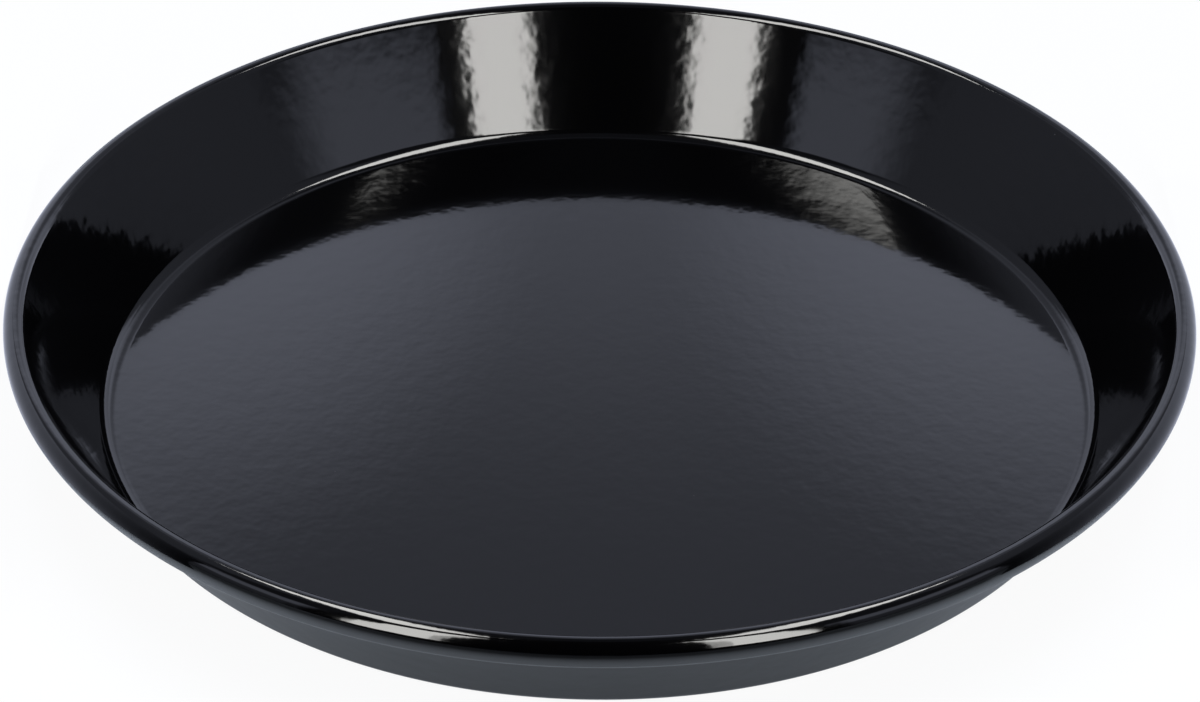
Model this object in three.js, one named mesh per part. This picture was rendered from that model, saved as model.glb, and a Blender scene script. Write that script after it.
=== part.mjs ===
// A quiche pan: a dish pressed from one sheet of steel, with a flared wall and a rolled rim, and a coat of
// black vitreous enamel on each face. Millimetres, +Z up, origin at the middle of the underside.
import * as THREE from 'three';

// Driving dimensions
const rimDiameter = 280; // over the rolled rim
const panHeight = 32; // from the underside to the top of the rim
const floorDiameter = 232; // the flat of the floor, where the cove begins
const coveRadius = 4.5; // from floor to wall, on the cooking side
const rollRadius = 2.75; // the rolled rim, over its enamel
const rollDrop = 1.4; // the straight stretch down the outer side of the roll
const lipGap = 0.7; // from the rolled edge to the wall it curls back to
const steelThickness = 0.7;
const insideCoatThickness = 0.2;
const outsideCoatThickness = 0.2;
const bondGap = 0.01; // hair of space at each fused face, which keeps the layers separate solids

// Facets round the pan, and along each arc of its section
const turnFacets = 60;
const coveFacets = 3;
const crestFacets = 7;
const tuckFacets = 6;

// Depths of the layers below the cooking surface
const steelTop = insideCoatThickness + bondGap;
const steelBottom = steelTop + steelThickness;
const outsideCoatTop = steelBottom + bondGap;
const sheetThickness = outsideCoatTop + outsideCoatThickness;

// Section of the cooking surface: x is the distance from the axis and y is the height. The wall is the
// straight line that touches the cove and the crest of the roll.
const floorTop = sheetThickness;
const coveCentre = new THREE.Vector2(floorDiameter / 2, floorTop + coveRadius);
const crestCentre = new THREE.Vector2(rimDiameter / 2 - rollRadius, panHeight - rollRadius);
const tuckCentre = new THREE.Vector2(crestCentre.x, crestCentre.y - rollDrop);
const coveToCrest = crestCentre.clone().sub(coveCentre);
const wallFlare = Math.acos((coveRadius + rollRadius) / coveToCrest.length()) - coveToCrest.angle();

// The enamelled edge of the roll stops lipGap short of the outside of the wall. The steel and the outside
// coat end one coat earlier, because the inside coat wraps the cut edge.
const tuckCentreToWall = rollRadius + rollDrop * Math.sin(wallFlare);
const edgeAngle = -wallFlare - Math.acos((lipGap + sheetThickness - tuckCentreToWall) / rollRadius);
const wrapAngle = edgeAngle + insideCoatThickness / rollRadius;
const cutAngle = wrapAngle + bondGap / rollRadius;

/** A point at an angle on a circle of the section. */
function pointOnArc(centre, radius, angle) {
  return new THREE.Vector2(Math.cos(angle), Math.sin(angle)).multiplyScalar(radius).add(centre);
}

/** Evenly spaced points along an arc of the section, both ends included. */
function arc(centre, radius, fromAngle, toAngle, facets) {
  const step = (toAngle - fromAngle) / facets;
  return Array.from({ length: facets + 1 }, (_, i) => pointOnArc(centre, radius, fromAngle + step * i));
}

/** A point on the rolled edge, at a depth below the cooking surface. */
function pointOnEdge(depth, angle) {
  return pointOnArc(tuckCentre, rollRadius - depth, angle);
}

/** The line that runs at one depth below the cooking surface, from the axis to the rolled edge. */
function sheetLine(depth, lastAngle) {
  return [
    new THREE.Vector2(0, floorTop - depth),
    ...arc(coveCentre, coveRadius + depth, -Math.PI / 2, -wallFlare, coveFacets),
    ...arc(crestCentre, rollRadius - depth, Math.PI - wallFlare, 0, crestFacets),
    ...arc(tuckCentre, rollRadius - depth, 0, lastAngle, tuckFacets),
  ];
}

/** A layer of the pan: a section outline, from the axis and back to it, turned about the axis. */
function turned(name, outline, material) {
  const geometry = new THREE.LatheGeometry(outline, turnFacets).rotateX(Math.PI / 2);
  const mesh = new THREE.Mesh(geometry, material);
  mesh.name = name;
  return mesh;
}

const sheetSteel = new THREE.MeshStandardMaterial({ color: 0x8b8e92, roughness: 0.45, metalness: 1 });
const blackEnamel = new THREE.MeshStandardMaterial({ color: 0x08080a, roughness: 0.08, metalness: 0 });

const steelPressing = turned(
  'steel_pressing',
  [...sheetLine(steelBottom, cutAngle), ...sheetLine(steelTop, cutAngle).reverse()],
  sheetSteel,
);

const insideEnamel = turned(
  'inside_enamel',
  [
    ...sheetLine(insideCoatThickness, wrapAngle),
    pointOnEdge(sheetThickness, wrapAngle),
    pointOnEdge(sheetThickness, edgeAngle),
    ...sheetLine(0, edgeAngle).reverse(),
  ],
  blackEnamel,
);

const outsideEnamel = turned(
  'outside_enamel',
  [...sheetLine(sheetThickness, cutAngle), ...sheetLine(outsideCoatTop, cutAngle).reverse()],
  blackEnamel,
);

const quichePan = new THREE.Group();
quichePan.name = 'quiche_pan';
quichePan.add(steelPressing, insideEnamel, outsideEnamel);

export default quichePan;
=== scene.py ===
"""Looks of a quiche pan: black enamel fused to a steel pressing, on a pale table in a light tent."""

import logging
import math
from dataclasses import dataclass, fields
from enum import Enum
from typing import ClassVar

import bmesh
import bpy
from mathutils import Matrix, Vector


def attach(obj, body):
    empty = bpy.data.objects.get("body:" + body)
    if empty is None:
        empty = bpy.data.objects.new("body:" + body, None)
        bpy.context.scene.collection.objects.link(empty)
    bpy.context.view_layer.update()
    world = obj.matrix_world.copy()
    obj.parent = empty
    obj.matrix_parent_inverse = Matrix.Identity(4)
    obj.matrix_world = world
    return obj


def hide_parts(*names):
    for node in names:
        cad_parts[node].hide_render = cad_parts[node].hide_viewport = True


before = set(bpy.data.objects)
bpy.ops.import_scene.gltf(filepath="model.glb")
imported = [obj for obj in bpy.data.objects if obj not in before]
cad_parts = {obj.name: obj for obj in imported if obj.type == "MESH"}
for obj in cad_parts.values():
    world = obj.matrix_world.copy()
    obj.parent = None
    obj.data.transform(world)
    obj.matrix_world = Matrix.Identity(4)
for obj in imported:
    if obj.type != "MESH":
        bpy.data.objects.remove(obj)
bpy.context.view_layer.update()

LOG = logging.getLogger("quiche_pan")
MM = 0.001
SMOOTH = {"interpolation_type": "SMOOTHSTEP"}
Point = tuple[float, float]
Place = tuple[float, float, float]
Tree = bpy.types.NodeTree
Socket = bpy.types.NodeSocket


class Side(Enum):
    """Which side of the pan a thing stands on, seen from the camera."""

    LEFT = -1
    RIGHT = 1


def linear(hex_colour: str) -> tuple[float, float, float, float]:
    """Turns an sRGB hex colour into the linear colour that a shader takes.

    Args:
        hex_colour: A colour such as "#1a2b3c".

    Returns:
        Linear red, green, blue and an alpha of 1.
    """
    shares = [int(hex_colour[i : i + 2], 16) / 255 for i in (1, 3, 5)]
    red, green, blue = (s / 12.92 if s <= 0.04045 else ((s + 0.055) / 1.055) ** 2.4 for s in shares)
    return red, green, blue, 1.0


def add_node(
    tree: Tree,
    kind: str,
    settings: dict[str, object] | None = None,
    inputs: dict[str | int, object] | None = None,
) -> bpy.types.Node:
    """Adds a node to a tree, sets it up and links its inputs.

    Args:
        tree: The node tree that gets the node.
        kind: The node's type, such as "ShaderNodeBump".
        settings: The node's own properties by name.
        inputs: A value, or another node's output socket, for each input by name or by number.

    Returns:
        The new node.
    """
    node = tree.nodes.new(kind)
    for name, value in (settings or {}).items():
        setattr(node, name, value)
    for key, value in (inputs or {}).items():
        if isinstance(value, Socket):
            tree.links.new(value, node.inputs[key])
        else:
            node.inputs[key].default_value = value
    return node


@dataclass(frozen=True)
class PanSection:
    """Section of the pan in millimetres: distance from the axis, and height over the table."""

    rim_diameter: float = 280.0
    pan_height: float = 32.0
    floor_diameter: float = 232.0
    cove_radius: float = 4.5
    roll_radius: float = 2.75
    roll_drop: float = 1.4
    lip_gap: float = 0.7
    steel_thickness: float = 0.7
    coat_thickness: float = 0.2
    bond_gap: float = 0.01
    arc_step: float = math.radians(3.0)
    floor_rings: int = 12

    @property
    def steel_top(self) -> float:
        """Depth of the steel's cooking side below the cooking surface."""
        return self.coat_thickness + self.bond_gap

    @property
    def steel_bottom(self) -> float:
        """Depth of the steel's outer side below the cooking surface."""
        return self.steel_top + self.steel_thickness

    @property
    def sheet_thickness(self) -> float:
        """Thickness of the steel with both its coats."""
        return self.steel_bottom + self.bond_gap + self.coat_thickness

    @property
    def cove_centre(self) -> Vector:
        """Centre of the cove's arc."""
        return Vector((self.floor_diameter / 2, self.sheet_thickness + self.cove_radius))

    @property
    def crest_centre(self) -> Vector:
        """Centre of the arc over the top of the rolled rim."""
        return Vector((self.rim_diameter / 2 - self.roll_radius, self.pan_height - self.roll_radius))

    @property
    def tuck_centre(self) -> Vector:
        """Centre of the arc that tucks the rolled rim under."""
        return self.crest_centre - Vector((0.0, self.roll_drop))

    @property
    def wall_flare(self) -> float:
        """Lean of the wall from upright: it is the straight line that touches the cove and the crest."""
        span = self.crest_centre - self.cove_centre
        return math.acos((self.cove_radius + self.roll_radius) / span.length) - math.atan2(span.y, span.x)

    @property
    def edge_angle(self) -> float:
        """Angle on the tuck at which the enamelled edge stops, lip_gap short of the wall."""
        tuck_to_wall = self.roll_radius + self.roll_drop * math.sin(self.wall_flare)
        reach = (self.lip_gap + self.sheet_thickness - tuck_to_wall) / self.roll_radius
        return -self.wall_flare - math.acos(reach)

    @property
    def wrap_angle(self) -> float:
        """Angle at which the cooking side's coat turns round the cut edge."""
        return self.edge_angle + self.coat_thickness / self.roll_radius

    @property
    def cut_angle(self) -> float:
        """Angle at which the steel was cut."""
        return self.wrap_angle + self.bond_gap / self.roll_radius

    def arc(
        self, centre: Vector, radius: float, start: float, end: float, stretch: float = 0.0
    ) -> list[Point]:
        """Gives evenly spaced points along an arc, both ends included.

        Args:
            centre: The arc's centre.
            radius: The arc's radius.
            start: The angle of the first point.
            end: The angle of the last point.
            stretch: How much the upright radius of an oval is longer than its level radius.

        Returns:
            The points, in order.
        """
        facets = max(2, math.ceil(abs(end - start) / self.arc_step))
        angles = [start + (end - start) * i / facets for i in range(facets + 1)]
        tall = radius + stretch
        return [(centre.x + radius * math.cos(a), centre.y + tall * math.sin(a)) for a in angles]

    def point_on_edge(self, depth: float, angle: float) -> Vector:
        """Gives a point on the tucked edge.

        Args:
            depth: How deep the point lies below the cooking surface.
            angle: Its angle round the tuck's centre.

        Returns:
            The point.
        """
        radius = self.roll_radius - depth
        return self.tuck_centre + Vector((math.cos(angle), math.sin(angle))) * radius

    def sheet_line(self, depth: float, last_angle: float) -> list[Point]:
        """Runs a line along the sheet at one depth, from the axis to the tucked edge.

        The outer side of the roll is drawn as a half oval, because the enamel rounds its straight stretch.

        Args:
            depth: How deep the line lies below the cooking surface.
            last_angle: The angle on the tuck at which the line stops.

        Returns:
            The line's points.
        """
        height = self.sheet_thickness - depth
        rings = [self.floor_diameter / 2 * i / self.floor_rings for i in range(self.floor_rings)]
        flare = self.wall_flare
        quarter = math.pi / 2
        roll = self.roll_radius - depth
        oval_centre = (self.crest_centre + self.tuck_centre) / 2
        outer_side = self.arc(oval_centre, roll, quarter, -quarter, self.roll_drop / 2)
        return [
            *((radius, height) for radius in rings),
            *self.arc(self.cove_centre, self.cove_radius + depth, -quarter, -flare),
            *self.arc(self.crest_centre, roll, math.pi - flare, quarter),
            *outer_side[1:-1],
            *self.arc(self.tuck_centre, roll, -quarter, last_angle),
        ]

    def round_corner(self, depth: float, start_turn: float) -> list[Point]:
        """Rounds one corner of the coat where it wraps the cut edge.

        Args:
            depth: The depth of the corner's centre below the cooking surface.
            start_turn: The angle at which the corner starts, from straight out of the roll.

        Returns:
            The corner's points.
        """
        centre = self.point_on_edge(depth, self.wrap_angle)
        start = self.wrap_angle - start_turn
        return self.arc(centre, self.coat_thickness, start, start - math.pi / 2)


@dataclass(frozen=True)
class Wave:
    """One size of wave in a fired surface, in millimetres, and the share of it that the level floor keeps."""

    cell: float
    height: float
    detail: float
    floor_share: float


@dataclass(frozen=True)
class VitreousEnamel:
    """Black vitreous enamel: coloured glass frit, sprayed on and fired until it flows.

    It is glass, so it mirrors the room in a deep black. The melt levels out almost flat and keeps a faint
    orange peel, which frays the edges of what it mirrors, more on the steep wall than on the floor.
    Lengths are in millimetres.
    """

    name: str
    body_hex: str = "#010101"
    mottle_hex: str = "#020203"
    speck_hex: str = "#2c2d30"
    ior: float = 1.55
    roughness: float = 0.07
    sag: Wave = Wave(cell=19.0, height=0.05, detail=0.0, floor_share=0.3)
    peel: Wave = Wave(cell=3.8, height=0.04, detail=0.5, floor_share=0.5)
    ripple: Wave = Wave(cell=1.6, height=0.008, detail=0.0, floor_share=1.0)
    floor_height: float = 1.5
    wall_height: float = 6.0
    mottle_cell: float = 30.0
    mottle_detail: float = 3.0
    speck_spacing: float = 9.0
    speck_size: float = 0.22
    speck_core: float = 0.5
    clear_share: float = 0.62

    def make(self) -> bpy.types.Material:
        """Makes the material: the black glass, its orange peel, and the few specks fired into it.

        Returns:
            The material.
        """
        material = bpy.data.materials.new(self.name)
        material.use_nodes = True
        tree = material.node_tree
        shader = tree.nodes["Principled BSDF"]
        shader.inputs["IOR"].default_value = self.ior
        shader.inputs["Roughness"].default_value = self.roughness
        place = add_node(tree, "ShaderNodeTexCoord").outputs["Object"]
        tree.links.new(self.colour(tree, place), shader.inputs["Base Color"])
        tree.links.new(self.surface(tree, place), shader.inputs["Normal"])
        return material

    def colour(self, tree: Tree, place: Socket) -> Socket:
        """Mixes the glass's colour from a faint mottle and sparse specks.

        Args:
            tree: The material's nodes.
            place: The surface's place, in metres.

        Returns:
            The colour's socket.
        """
        mottle = add_node(
            tree,
            "ShaderNodeTexNoise",
            {},
            {"Vector": place, "Scale": 1 / (self.mottle_cell * MM), "Detail": self.mottle_detail},
        )
        body = add_node(
            tree,
            "ShaderNodeMix",
            {"data_type": "RGBA"},
            {0: mottle.outputs[0], 6: linear(self.body_hex), 7: linear(self.mottle_hex)},
        )
        cells = add_node(
            tree, "ShaderNodeTexVoronoi", {}, {"Vector": place, "Scale": 1 / (self.speck_spacing * MM)}
        )
        edge = self.speck_size / self.speck_spacing
        speck = add_node(
            tree,
            "ShaderNodeMapRange",
            SMOOTH,
            {"Value": cells.outputs["Distance"], "From Min": edge, "From Max": edge * self.speck_core},
        )
        rare = add_node(
            tree,
            "ShaderNodeMath",
            {"operation": "GREATER_THAN"},
            {0: cells.outputs["Color"], 1: self.clear_share},
        )
        shown = add_node(
            tree, "ShaderNodeMath", {"operation": "MULTIPLY"}, {0: speck.outputs[0], 1: rare.outputs[0]}
        )
        return add_node(
            tree,
            "ShaderNodeMix",
            {"data_type": "RGBA"},
            {0: shown.outputs[0], 6: body.outputs[2], 7: linear(self.speck_hex)},
        ).outputs[2]

    def surface(self, tree: Tree, place: Socket) -> Socket:
        """Waves the surface: a slow sag, the orange peel, and a fine ripple on it.

        Args:
            tree: The material's nodes.
            place: The surface's place, in metres.

        Returns:
            The bent normal's socket.
        """
        height = add_node(tree, "ShaderNodeSeparateXYZ", {}, {0: place}).outputs["Z"]
        normal = None
        for wave in (self.sag, self.peel, self.ripple):
            share = add_node(
                tree,
                "ShaderNodeMapRange",
                SMOOTH,
                {
                    "Value": height,
                    "From Min": self.floor_height * MM,
                    "From Max": self.wall_height * MM,
                    "To Min": wave.floor_share,
                    "To Max": 1.0,
                },
            )
            noise = add_node(
                tree,
                "ShaderNodeTexNoise",
                {},
                {"Vector": place, "Scale": 1 / (wave.cell * MM), "Detail": wave.detail},
            )
            bump = add_node(
                tree,
                "ShaderNodeBump",
                {},
                {"Strength": share.outputs[0], "Distance": wave.height * MM, "Height": noise.outputs[0]},
            )
            if normal is not None:
                tree.links.new(normal, bump.inputs["Normal"])
            normal = bump.outputs["Normal"]
        return normal


@dataclass(frozen=True)
class ColdRolledSteel:
    """Cold rolled low-carbon sheet, pickled before enamelling: dull grey, with fine marks of the rolls.

    The enamel covers all of it, so it shows only where a coat is chipped away or hidden. The roll marks, in
    millimetres, are drawn coarser than real ones, so that they show.
    """

    name: str
    body_hex: str = "#8b8e92"
    pale_hex: str = "#a3a6a9"
    roughness: float = 0.42
    roll_mark: float = 0.6
    drawn_out: float = 0.04
    mark_detail: float = 4.0

    def make(self) -> bpy.types.Material:
        """Makes the material, with the roll marks drawn out along one direction.

        Returns:
            The material.
        """
        material = bpy.data.materials.new(self.name)
        material.use_nodes = True
        tree = material.node_tree
        shader = tree.nodes["Principled BSDF"]
        shader.inputs["Metallic"].default_value = 1.0
        shader.inputs["Roughness"].default_value = self.roughness
        place = add_node(tree, "ShaderNodeTexCoord").outputs["Object"]
        drawn = add_node(
            tree, "ShaderNodeMapping", {}, {"Vector": place, "Scale": (1.0, self.drawn_out, 1.0)}
        )
        marks = add_node(
            tree,
            "ShaderNodeTexNoise",
            {},
            {"Vector": drawn.outputs[0], "Scale": 1 / (self.roll_mark * MM), "Detail": self.mark_detail},
        )
        tint = add_node(
            tree,
            "ShaderNodeMix",
            {"data_type": "RGBA"},
            {0: marks.outputs[0], 6: linear(self.body_hex), 7: linear(self.pale_hex)},
        )
        tree.links.new(tint.outputs[2], shader.inputs["Base Color"])
        return material


@dataclass
class TurnedLayer:
    """One layer of the pan: a section outline turned about the pan's axis.

    A subclass gives the outline. The layer stands for the CAD node of the same layer.
    """

    section: PanSection
    finish: VitreousEnamel | ColdRolledSteel
    piece: str
    node: str
    slot: str
    turn_facets: int = 360
    crease: float = math.radians(50.0)

    def outline(self) -> list[Point]:
        """Gives the closed outline of the layer's section, from the axis and back to it."""
        raise NotImplementedError

    def build(self) -> bpy.types.Object:
        """Turns the outline into a mesh and puts it in the scene as a piece of the pan.

        Returns:
            The layer, without its finish.
        """
        outline = self.outline()
        on_axis = {0, len(outline) - 1}
        turns = [2 * math.pi * i / self.turn_facets for i in range(self.turn_facets)]
        verts: list[Place] = []
        rings: list[list[int]] = []
        for index, (radius, height) in enumerate(outline):
            angles = [0.0] if index in on_axis else turns
            rings.append(list(range(len(verts), len(verts) + len(angles))))
            verts.extend((radius * math.cos(a) * MM, radius * math.sin(a) * MM, height * MM) for a in angles)
        faces = [face for inner, outer in zip(rings, rings[1:]) for face in self.band(inner, outer)]
        mesh = bpy.data.meshes.new(self.piece)
        mesh.from_pydata(verts, [], faces)
        mesh.validate()
        mesh.shade_smooth()
        mesh.set_sharp_from_angle(angle=self.crease)
        layer = bpy.data.objects.new(self.piece, mesh)
        bpy.context.scene.collection.objects.link(layer)
        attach(layer, "root")
        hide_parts(self.node)
        return layer

    def band(self, inner: list[int], outer: list[int]) -> list[tuple[int, ...]]:
        """Joins two rings of the turned outline, either of which may be a point on the axis.

        Args:
            inner: The vertices of the first ring.
            outer: The vertices of the next ring.

        Returns:
            The faces between them, facing out of the layer.
        """
        faces = []
        for i in range(self.turn_facets):
            j = (i + 1) % self.turn_facets
            if len(inner) == 1:
                faces.append((inner[0], outer[j], outer[i]))
            elif len(outer) == 1:
                faces.append((inner[i], inner[j], outer[0]))
            else:
                faces.append((inner[i], inner[j], outer[j], outer[i]))
        return faces

    def dress(self, layer: bpy.types.Object) -> None:
        """Gives the layer its finish."""
        layer.data.materials.append(self.finish.make())


@dataclass
class SteelPressing(TurnedLayer):
    """The steel: one blank, drawn to floor, cove and wall, and rolled outward and under at the rim."""

    def outline(self) -> list[Point]:
        """Gives the outline of the bare sheet.

        Returns:
            The outline's points, out along the underside and back along the cooking side.
        """
        section = self.section
        under = section.sheet_line(section.steel_bottom, section.cut_angle)
        over = section.sheet_line(section.steel_top, section.cut_angle)
        return [*under, *reversed(over)]


@dataclass
class CookingEnamel(TurnedLayer):
    """The coat on the cooking side, which runs over the rolled rim and round the cut edge."""

    def outline(self) -> list[Point]:
        """Gives the outline of the coat, with the corners rounded where it wraps the cut edge.

        Returns:
            The outline's points, out along the steel and back along the cooking surface.
        """
        section = self.section
        coat = section.coat_thickness
        under = section.sheet_line(coat, section.wrap_angle)
        over = section.sheet_line(0.0, section.wrap_angle)
        inner_corner = section.round_corner(section.sheet_thickness - coat, math.pi / 2)
        outer_corner = section.round_corner(coat, 0.0)
        wrap = [*reversed(inner_corner), *reversed(outer_corner[1:])]
        hidden = section.point_on_edge(section.sheet_thickness, section.wrap_angle)
        return [*under, tuple(hidden), *wrap, *reversed(over[:-1])]


@dataclass
class UndersideEnamel(TurnedLayer):
    """The coat on the underside and the outer wall, which runs up into the hollow of the roll."""

    def outline(self) -> list[Point]:
        """Gives the outline of the coat, which meets the other coat at the cut edge.

        Returns:
            The outline's points, out along the underside and back along the steel.
        """
        section = self.section
        under = section.sheet_line(section.sheet_thickness, section.cut_angle)
        over = section.sheet_line(section.sheet_thickness - section.coat_thickness, section.cut_angle)
        return [*under, *reversed(over)]


@dataclass(frozen=True)
class StripLight:
    """A soft strip of light that hangs face down, or is raised to face the pan. Millimetres and degrees.

    It is a core in front of a wider panel, so that its edges fade in two steps.
    """

    name: str
    place: Place
    turn: float
    raise_from_down: float
    width: float
    length: float
    level: float
    edge: float = 30.0
    core_ahead: float = 2.0
    warm_hex: str = "#fffefb"

    def build(self) -> list[bpy.types.Object]:
        """Hangs the strip in its place."""
        core = self.panel("core", self.width - self.edge / 2, self.core_ahead)
        return [core, self.panel("edge", self.width + self.edge / 2, 0.0)]

    def panel(self, part: str, width: float, ahead: float) -> bpy.types.Object:
        """Hangs one of the strip's two panels, which share its level.

        Args:
            part: The panel's part in the strip.
            width: The panel's width.
            ahead: How far the panel stands in front of the strip's place.

        Returns:
            The panel.
        """
        name = f"{self.name}_{part}"
        lamp = bpy.data.lights.new(name, "AREA")
        lamp.shape = "RECTANGLE"
        lamp.size = width * MM
        lamp.size_y = self.length * MM
        # The power at which a panel of this size has half the strip's level
        lamp.energy = self.level / 2 * math.pi * lamp.size * lamp.size_y
        lamp.color = linear(self.warm_hex)[:3]
        panel = bpy.data.objects.new(name, lamp)
        panel.matrix_world = (
            Matrix.Translation(Vector(self.place) * MM)
            @ Matrix.Rotation(math.radians(self.turn), 4, "Z")
            @ Matrix.Rotation(math.radians(self.raise_from_down), 4, "X")
            @ Matrix.Translation((0.0, 0.0, -ahead * MM))
        )
        panel.visible_camera = False
        bpy.context.scene.collection.objects.link(panel)
        return panel


@dataclass(frozen=True)
class LitCloth:
    """White cloth or board that glows by itself in place of lamps on it, which the pan mirrors and the camera
    doesn't see.

    Its glow shows no lamp, only a soft white that is painted brighter in some places than in others. A
    subclass gives its level in each place.
    """

    material_name: str = "white_nylon_lit"
    cloth_hex: str = "#e3e9ff"

    def level(self, tree: Tree) -> Socket:
        """Works out how bright the cloth is in each place, where 1 is white."""
        raise NotImplementedError

    def put_up(self, name: str, mesh: bpy.types.Mesh) -> bpy.types.Object:
        """Puts the cloth on the stage.

        Args:
            name: The cloth's name.
            mesh: Its shape.

        Returns:
            The cloth.
        """
        cloth = bpy.data.objects.new(name, mesh)
        cloth.visible_camera = False
        bpy.context.scene.collection.objects.link(cloth)
        material = bpy.data.materials.new(self.material_name)
        material.use_nodes = True
        tree = material.node_tree
        tree.nodes.clear()
        colour = linear(self.cloth_hex)
        glow = add_node(tree, "ShaderNodeEmission", {}, {"Color": colour, "Strength": self.level(tree)})
        add_node(tree, "ShaderNodeOutputMaterial", {}, {"Surface": glow.outputs[0]})
        mesh.materials.append(material)
        return cloth


@dataclass(frozen=True)
class WhiteCard(LitCloth):
    """A low white card beside the pan that glows by itself, painted dimmer to the front; it lights the rolled
    rim's outer side.
    """

    material_name: str = "white_board_lit"
    side: Side = Side.LEFT
    away: float = 150.0
    front: float = -130.0
    back: float = 100.0
    front_height: float = 80.0
    back_height: float = 42.0
    dark_from: float = -140.0
    dim_from: float = 10.0
    full_level: float = 1.2

    def build(self) -> bpy.types.Object:
        """Stands the card on the table.

        Returns:
            The card.
        """
        name = f"white_card_{self.side.name.lower()}"
        across = self.side.value * self.away
        corners = [
            Vector((across, self.front, 0.0)),
            Vector((across, self.back, 0.0)),
            Vector((across, self.back, self.back_height)),
            Vector((across, self.front, self.front_height)),
        ]
        mesh = bpy.data.meshes.new(name)
        mesh.from_pydata([corner * MM for corner in corners], [], [(0, 1, 2, 3)])
        return self.put_up(name, mesh)

    def level(self, tree: Tree) -> Socket:
        """Works out how bright the card is from front to back, where 1 is white.

        Args:
            tree: The card's nodes.

        Returns:
            The level's socket.
        """
        place = add_node(tree, "ShaderNodeTexCoord").outputs["Object"]
        along = add_node(tree, "ShaderNodeSeparateXYZ", {}, {0: place}).outputs["Y"]
        return add_node(
            tree,
            "ShaderNodeMapRange",
            SMOOTH,
            {
                "Value": along,
                "From Min": self.dark_from * MM,
                "From Max": self.dim_from * MM,
                "To Max": self.full_level,
            },
        ).outputs[0]


class Measure(Enum):
    """What a part of the tent's light follows, measured on the direction in which the pan sees it."""

    UP = "sine of the height over the horizon"
    BACK = "cosine of the turn from straight back"
    HANG = "height over a line that sinks towards the back"
    ACROSS = "distance to either side of the middle"
    OPENING = "cosine of the turn from the middle of the opening"
    POOL = "cosine of the angle to the closer pool of light"


@dataclass(frozen=True)
class Fade:
    """A part of the tent's light, which goes smoothly from its first level to its last along a measure."""

    along: Measure
    start: float
    end: float
    first: float = 0.0
    last: float = 1.0


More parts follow.
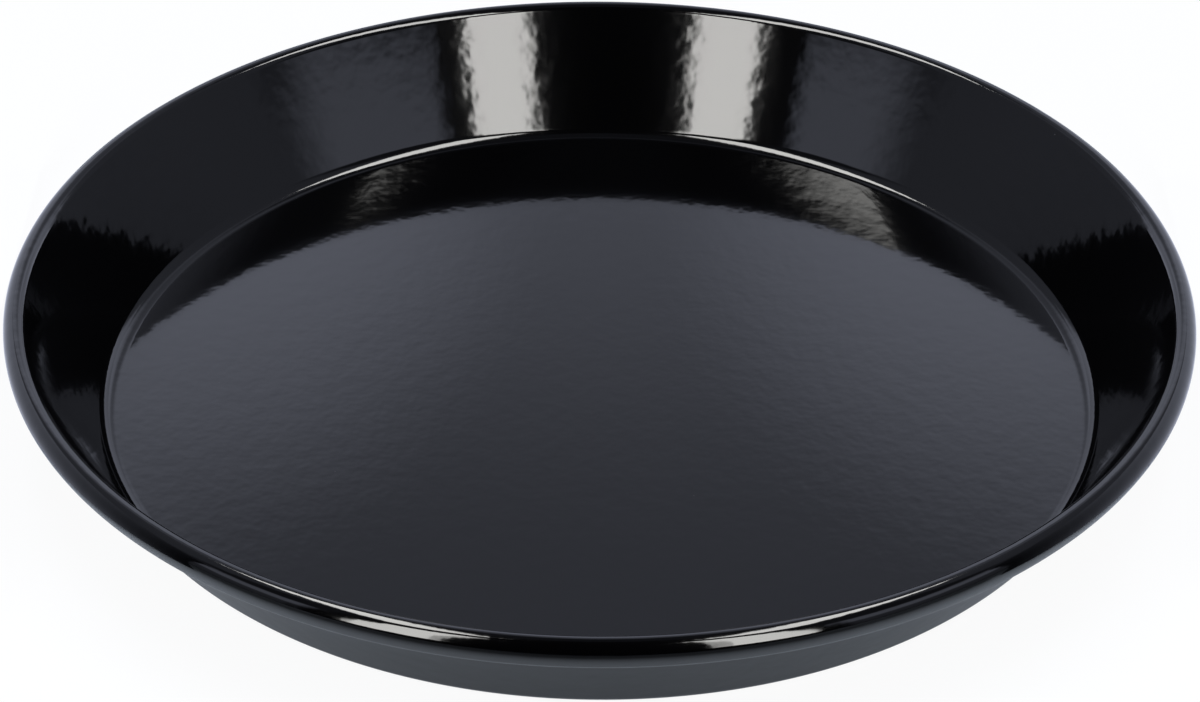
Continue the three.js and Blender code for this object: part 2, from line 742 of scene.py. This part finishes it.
@dataclass(frozen=True)
class LightTent(LitCloth):
    """The white cloth round the table, as the pan mirrors it. The camera looks in through the open front.

    The cloth glows by itself, and its glow is painted: the cloth behind as if lit from both sides, and again
    at its skirt, which the rim sees over the far wall. The side cloths are painted dimmer, two flaps stand
    beside the opening, and the opening and the roof between the strips are painted dark. Light that is
    mirrored again at a crossed angle loses its polarised part, which the render doesn't follow, so the cloth
    has a darker level for what is mirrored more than once.
    Lengths are in millimetres and angles in degrees.
    """

    radius: float = 860.0
    smoothness: int = 4
    pool_turn: float = 17.8
    pool_raise: float = 25.8
    opening_turn: float = 4.5
    hang_slope: float = 0.25
    # Between a ray depth of 1, mirrored once, and of 2, mirrored again
    once_limit: float = 1.5
    # The side cloths, and how far their lit tops reach
    side_cloth: Fade = Fade(Measure.UP, 0.05, 0.35, 0.22, 0.32)
    side_top: Fade = Fade(Measure.HANG, 0.365, 0.405, 1.0, 0.25)
    side_back_end: Fade = Fade(Measure.BACK, 0.97, 0.88)
    side_front_end: Fade = Fade(Measure.BACK, -0.35, -0.1)
    # The cloth behind, painted dark at its foot, with a painted bright hem and two painted pools of light
    back_cloth: Fade = Fade(Measure.BACK, 0.8, 0.93, 0.0, 0.65)
    back_top: Fade = Fade(Measure.UP, 0.49, 0.655, 1.0, 0.585)
    back_foot: Fade = Fade(Measure.UP, 0.415, 0.45, 0.1, 1.0)
    back_hem: Fade = Fade(Measure.UP, 0.485, 0.455, 0.0, 1.6)
    back_pool: Fade = Fade(Measure.POOL, 0.966, 0.997, 0.0, 0.53)
    # The lit skirt behind, whose foot is dimmer straight behind and brighter to the sides
    skirt: Fade = Fade(Measure.UP, 0.5, 0.46, 0.0, 0.85)
    skirt_reach: Fade = Fade(Measure.BACK, 0.74, 0.82)
    skirt_foot: Fade = Fade(Measure.UP, 0.24, 0.19)
    skirt_gain: Fade = Fade(Measure.BACK, 0.98, 0.87, -0.4, 0.4)
    # The flaps beside the opening
    flap: Fade = Fade(Measure.BACK, -0.18, -0.42, 0.0, 0.68)
    flap_foot: Fade = Fade(Measure.UP, 0.25, 0.34)
    flap_top: Fade = Fade(Measure.UP, 0.6, 0.5)
    flap_low_top: Fade = Fade(Measure.UP, 0.54, 0.46)
    # The dark roof and its lit sides, the opening, the horizon, and the light from below
    roof: Fade = Fade(Measure.UP, 0.72, 0.85, 1.0, 0.15)
    roof_side: Fade = Fade(Measure.ACROSS, 0.18, 0.32)
    opening: Fade = Fade(Measure.OPENING, 0.749, 0.688)
    horizon: Fade = Fade(Measure.UP, -0.02, 0.02)
    under: Fade = Fade(Measure.UP, -0.3, -0.85, 0.0, 0.7)

    # How the parts go together, in order: the new part's name, the sum, and what goes into it
    SUMS: ClassVar[tuple[tuple[str, str, tuple[str, ...]], ...]] = (
        ("back_plain", "MULTIPLY", ("back_cloth", "back_top")),
        ("back_lit", "ADD", ("back_plain", "back_pool")),
        ("flaps", "MULTIPLY", ("flap", "flap_foot", "flap_top")),
        # What is mirrored once
        ("skirt_even", "MULTIPLY", ("skirt", "skirt_reach")),
        ("skirt_change", "MULTIPLY", ("skirt_even", "skirt_foot", "skirt_gain")),
        ("skirt_lit", "ADD", ("skirt_even", "skirt_change")),
        ("back_footed", "MULTIPLY", ("back_lit", "back_foot")),
        ("back_hung", "MAXIMUM", ("back_footed", "skirt_lit")),
        ("side_wings", "MULTIPLY", ("side_back_end", "side_front_end")),
        ("side_open_top", "MAXIMUM", ("side_top", "side_wings")),
        ("side_open", "MULTIPLY", ("side_cloth", "side_open_top")),
        ("roof_open", "MAXIMUM", ("roof", "roof_side")),
        ("once_cloth", "ADD", ("side_open", "back_hung", "flaps")),
        ("once", "MULTIPLY", ("once_cloth", "roof_open", "mirrored_once")),
        # What is mirrored again
        ("side_dim", "MULTIPLY", ("side_cloth", "side_top")),
        ("hem", "MULTIPLY", ("back_hem", "back_cloth")),
        ("back_hemmed", "ADD", ("back_lit", "hem")),
        ("back_dim", "MULTIPLY", ("back_hemmed", "back_foot")),
        ("flaps_dim", "MULTIPLY", ("flaps", "flap_low_top")),
        ("again_cloth", "ADD", ("side_dim", "back_dim", "flaps_dim")),
        ("again", "MULTIPLY", ("again_cloth", "roof", "mirrored_again")),
        # The whole tent
        ("cloth", "ADD", ("once", "again")),
        ("above", "MULTIPLY", ("cloth", "opening", "horizon")),
        ("tent", "ADD", ("above", "under")),
    )

    def build(self) -> bpy.types.Object:
        """Puts the tent round the table as a backdrop, and plain white behind it for the camera.

        Returns:
            The tent.
        """
        world = bpy.data.worlds.new("plain_white")
        world.use_nodes = True
        world.node_tree.nodes["Background"].inputs["Color"].default_value = linear("#ffffff")
        bpy.context.scene.world = world
        shape = bmesh.new()
        bmesh.ops.create_icosphere(shape, subdivisions=self.smoothness, radius=self.radius * MM)
        mesh = bpy.data.meshes.new("light_tent")
        shape.to_mesh(mesh)
        shape.free()
        tent = self.put_up("light_tent", mesh)
        # The tent is all round the pan, so what it lights finds it without aiming at it
        mesh.materials[0].cycles.emission_sampling = "NONE"
        return tent

    def level(self, tree: Tree) -> Socket:
        """Works out how bright the tent is in each direction, where 1 is white.

        Args:
            tree: The cloth's nodes.

        Returns:
            The level's socket.
        """
        measures = self.measure(tree)
        depth = add_node(tree, "ShaderNodeLightPath").outputs["Ray Depth"]
        parts: dict[str, Socket] = {}
        for name, how in (("mirrored_once", "LESS_THAN"), ("mirrored_again", "GREATER_THAN")):
            told = add_node(tree, "ShaderNodeMath", {"operation": how}, {0: depth, 1: self.once_limit})
            parts[name] = told.outputs[0]
        for field in fields(self):
            fade = getattr(self, field.name)
            if isinstance(fade, Fade):
                inputs = {
                    "Value": measures[fade.along],
                    "From Min": fade.start,
                    "From Max": fade.end,
                    "To Min": fade.first,
                    "To Max": fade.last,
                }
                parts[field.name] = add_node(tree, "ShaderNodeMapRange", SMOOTH, inputs).outputs[0]
        for name, how, shares in self.SUMS:
            total = parts[shares[0]]
            for share in shares[1:]:
                inputs = {0: total, 1: parts[share]}
                total = add_node(tree, "ShaderNodeMath", {"operation": how}, inputs).outputs[0]
            parts[name] = total
        return parts["tent"]

    def measure(self, tree: Tree) -> dict[Measure, Socket]:
        """Measures the direction from the pan to each place on the cloth.

        Args:
            tree: The cloth's nodes.

        Returns:
            Each measure's socket.
        """
        place = add_node(tree, "ShaderNodeTexCoord").outputs["Object"]
        towards = add_node(tree, "ShaderNodeVectorMath", {"operation": "NORMALIZE"}, {0: place}).outputs[0]
        axes = add_node(tree, "ShaderNodeSeparateXYZ", {}, {0: towards}).outputs
        flat = add_node(tree, "ShaderNodeCombineXYZ", {}, {"X": axes["X"], "Y": axes["Y"]}).outputs[0]
        heading = add_node(tree, "ShaderNodeVectorMath", {"operation": "NORMALIZE"}, {0: flat}).outputs[0]
        back = add_node(tree, "ShaderNodeSeparateXYZ", {}, {0: heading}).outputs["Y"]
        line = {0: back, 1: self.hang_slope, 2: axes["Z"]}
        hang = add_node(tree, "ShaderNodeMath", {"operation": "MULTIPLY_ADD"}, line)
        across = add_node(tree, "ShaderNodeMath", {"operation": "ABSOLUTE"}, {0: axes["X"]})
        swing = math.radians(self.opening_turn)
        ahead = (-math.sin(swing), -math.cos(swing), 0.0)
        facing = add_node(tree, "ShaderNodeVectorMath", {"operation": "DOT_PRODUCT"}, {0: heading, 1: ahead})
        turn, lift = math.radians(self.pool_turn), math.radians(self.pool_raise)
        close = []
        for side in Side:
            sideways = side.value * math.sin(turn)
            aim = (sideways * math.cos(lift), math.cos(turn) * math.cos(lift), math.sin(lift))
            near = add_node(tree, "ShaderNodeVectorMath", {"operation": "DOT_PRODUCT"}, {0: towards, 1: aim})
            close.append(near.outputs["Value"])
        pool = add_node(tree, "ShaderNodeMath", {"operation": "MAXIMUM"}, dict(enumerate(close)))
        return {
            Measure.UP: axes["Z"],
            Measure.BACK: back,
            Measure.HANG: hang.outputs[0],
            Measure.ACROSS: across.outputs[0],
            Measure.OPENING: facing.outputs["Value"],
            Measure.POOL: pool.outputs[0],
        }


@dataclass(frozen=True)
class Tabletop:
    """The satin acrylic top that the pan stands on: pale, without gloss, with painted shade. Sizes in
    millimetres.
    """

    half_width: float = 560.0
    front: float = -420.0
    back: float = 560.0
    below: float = 0.1
    pan_centre: Place = (0.0, 0.0, 0.0)
    # A painted shadow: the sheet is painted darker close under the pan
    shaded_to: float = 124.0
    open_from: float = 158.0
    shaded_share: float = 0.72
    # A painted pool of light: the sheet is painted darker far from its middle
    lit_centre: Place = (0.0, 100.0, 0.0)
    lit_to: float = 240.0
    dark_from: float = 315.0
    dark_share: float = 0.15
    sheet_hex: str = "#c6d1e1"
    camera_lift: float = 0.94
    mirror_lift: float = 0.08

    def build(self) -> bpy.types.Object:
        """Lays the top just under the pan.

        Returns:
            The tabletop.
        """
        corners = [
            (-self.half_width, self.front),
            (self.half_width, self.front),
            (self.half_width, self.back),
            (-self.half_width, self.back),
        ]
        mesh = bpy.data.meshes.new("tabletop")
        mesh.from_pydata([(x * MM, y * MM, -self.below * MM) for x, y in corners], [], [(0, 1, 2, 3)])
        table = bpy.data.objects.new("tabletop", mesh)
        bpy.context.scene.collection.objects.link(table)
        mesh.materials.append(self.satin_acrylic())
        return table

    def satin_acrylic(self) -> bpy.types.Material:
        """Makes the pale sheet, with its painted shade, lifted towards white where it is seen. From below it
        is see-through.

        Returns:
            The material.
        """
        material = bpy.data.materials.new("pale_acrylic_satin")
        material.use_nodes = True
        tree = material.node_tree
        tree.nodes.clear()
        shade = self.shade(tree)
        tint = add_node(
            tree,
            "ShaderNodeMix",
            {"data_type": "RGBA"},
            {0: shade, 6: linear("#000000"), 7: linear(self.sheet_hex)},
        )
        sheet = add_node(tree, "ShaderNodeBsdfDiffuse", {}, {"Color": tint.outputs[2]})
        white = add_node(tree, "ShaderNodeEmission", {}, {"Color": linear("#ffffff"), "Strength": 1.0})
        lift = self.lift(tree, shade)
        lit = add_node(tree, "ShaderNodeMixShader", {}, {0: lift, 1: sheet.outputs[0], 2: white.outputs[0]})
        clear = add_node(tree, "ShaderNodeBsdfTransparent")
        behind = add_node(tree, "ShaderNodeNewGeometry").outputs["Backfacing"]
        both = add_node(tree, "ShaderNodeMixShader", {}, {0: behind, 1: lit.outputs[0], 2: clear.outputs[0]})
        add_node(tree, "ShaderNodeOutputMaterial", {}, {"Surface": both.outputs[0]})
        return material

    def shade(self, tree: Tree) -> Socket:
        """Works out the painted shade on the sheet: a painted shadow close under the pan, and painted shade
        far from a painted pool of light.

        Args:
            tree: The material's nodes.

        Returns:
            The share's socket, where 1 is the sheet's full colour.
        """
        place = add_node(tree, "ShaderNodeTexCoord").outputs["Object"]
        shares = []
        # Painted shade: darker far from the painted pool of light, and a painted shadow close under the pan
        for centre, dark_end, light_end, least in (
            (self.lit_centre, self.dark_from, self.lit_to, self.dark_share),
            (self.pan_centre, self.shaded_to, self.open_from, self.shaded_share),
        ):
            middle = tuple(Vector(centre) * MM)
            away = add_node(tree, "ShaderNodeVectorMath", {"operation": "DISTANCE"}, {0: place, 1: middle})
            share = add_node(
                tree,
                "ShaderNodeMapRange",
                SMOOTH,
                {
                    "Value": away.outputs["Value"],
                    "From Min": dark_end * MM,
                    "From Max": light_end * MM,
                    "To Min": least,
                },
            )
            shares.append(share.outputs[0])
        return add_node(tree, "ShaderNodeMath", {"operation": "MULTIPLY"}, dict(enumerate(shares))).outputs[0]

    def lift(self, tree: Tree, shade: Socket) -> Socket:
        """Works out how far the sheet is lifted to white: for the camera, and a little where it is mirrored.

        Args:
            tree: The material's nodes.
            shade: How light the sheet is painted, with its painted shadow and painted pool of light.

        Returns:
            The lift's socket.
        """
        path = add_node(tree, "ShaderNodeLightPath").outputs
        mirrored = add_node(
            tree,
            "ShaderNodeMath",
            {"operation": "MAXIMUM"},
            {0: path["Is Glossy Ray"], 1: path["Is Transmission Ray"]},
        )
        near = add_node(tree, "ShaderNodeMath", {"operation": "MULTIPLY"}, {0: mirrored.outputs[0], 1: shade})
        dim = add_node(
            tree, "ShaderNodeMath", {"operation": "MULTIPLY"}, {0: near.outputs[0], 1: self.mirror_lift}
        )
        return add_node(
            tree,
            "ShaderNodeMath",
            {"operation": "MULTIPLY_ADD"},
            {0: path["Is Camera Ray"], 1: self.camera_lift, 2: dim.outputs[0]},
        ).outputs[0]


@dataclass(frozen=True)
class PhotoCamera:
    """The camera that took the photograph, found from the pan's outlines. Millimetres, degrees and pixels."""

    place: Place = (0.1, -652.9, 447.4)
    look_down: float = 33.819
    roll: float = 0.307
    focal_pixels: float = 3268.2
    picture_width: float = 1200.0
    sensor_width: float = 36.0

    def build(self) -> bpy.types.Object:
        """Makes the camera and hands it to the scene.

        Returns:
            The camera.
        """
        camera = bpy.data.cameras.new("photo_camera")
        camera.sensor_width = self.sensor_width
        camera.lens = self.sensor_width * self.focal_pixels / self.picture_width
        holder = bpy.data.objects.new("photo_camera", camera)
        tilt = Matrix.Rotation(math.radians(90 - self.look_down), 4, "X")
        turn = Matrix.Rotation(math.radians(self.roll), 4, "Z")
        holder.matrix_world = Matrix.Translation(Vector(self.place) * MM) @ tilt @ turn
        bpy.context.scene.collection.objects.link(holder)
        bpy.context.scene.camera = holder
        return holder


def pan_layers() -> tuple[TurnedLayer, ...]:
    """Lists the layers of the pan.

    Returns:
        The steel, then the coat on each of its sides.
    """
    section = PanSection()
    return (
        SteelPressing(
            section,
            ColdRolledSteel("cold_rolled_steel"),
            piece="steel_sheet",
            node="steel_pressing",
            slot="sheet_steel",
        ),
        CookingEnamel(
            section,
            VitreousEnamel("black_enamel_cooking_side"),
            piece="cooking_enamel",
            node="inside_enamel",
            slot="inside_enamel",
        ),
        UndersideEnamel(
            section,
            VitreousEnamel("black_enamel_outside"),
            piece="underside_enamel",
            node="outside_enamel",
            slot="outside_enamel",
        ),
    )


def strip_lights() -> tuple[StripLight, ...]:
    """Lists the strips of light.

    Returns:
        Two strips in front, which the far wall mirrors, and two under the roof.
    """
    return (
        StripLight(
            "front_strip_left",
            (-232.0, -368.0, 320.0),
            turn=18.6,
            raise_from_down=87.2,
            width=176.0,
            length=520.0,
            level=10.8,
        ),
        StripLight(
            "front_strip_right",
            (194.0, -387.0, 320.0),
            turn=-23.9,
            raise_from_down=87.2,
            width=170.0,
            length=520.0,
            level=10.8,
        ),
        StripLight(
            "roof_strip_left",
            (-221.0, 74.0, 690.0),
            turn=1.5,
            raise_from_down=0.0,
            width=158.0,
            length=534.0,
            level=11.5,
        ),
        StripLight(
            "roof_strip_right",
            (230.0, 10.0, 690.0),
            turn=-1.5,
            raise_from_down=0.0,
            width=155.0,
            length=525.0,
            level=11.5,
        ),
    )


def main() -> None:
    """Builds the pan, the table, the light and the camera, and writes how many faces each layer of the pan
    has.
    """
    logging.basicConfig(level=logging.INFO, format="%(name)s: %(message)s")
    bpy.context.scene.view_settings.view_transform = "Standard"

    for layer in pan_layers():
        made = layer.build()
        layer.dress(made)
        LOG.info("%s: %d faces in %s", made.name, len(made.data.polygons), layer.finish.name)

    LOG.info("%s laid", Tabletop().build().name)
    LOG.info("%s put up", LightTent().build().name)
    for side in Side:
        LOG.info("%s stood up", WhiteCard(side=side).build().name)
    for strip in strip_lights():
        LOG.info("%s hung", " and ".join(panel.name for panel in strip.build()))
    LOG.info("%s set", PhotoCamera().build().name)


if __name__ == "__main__":
    main()
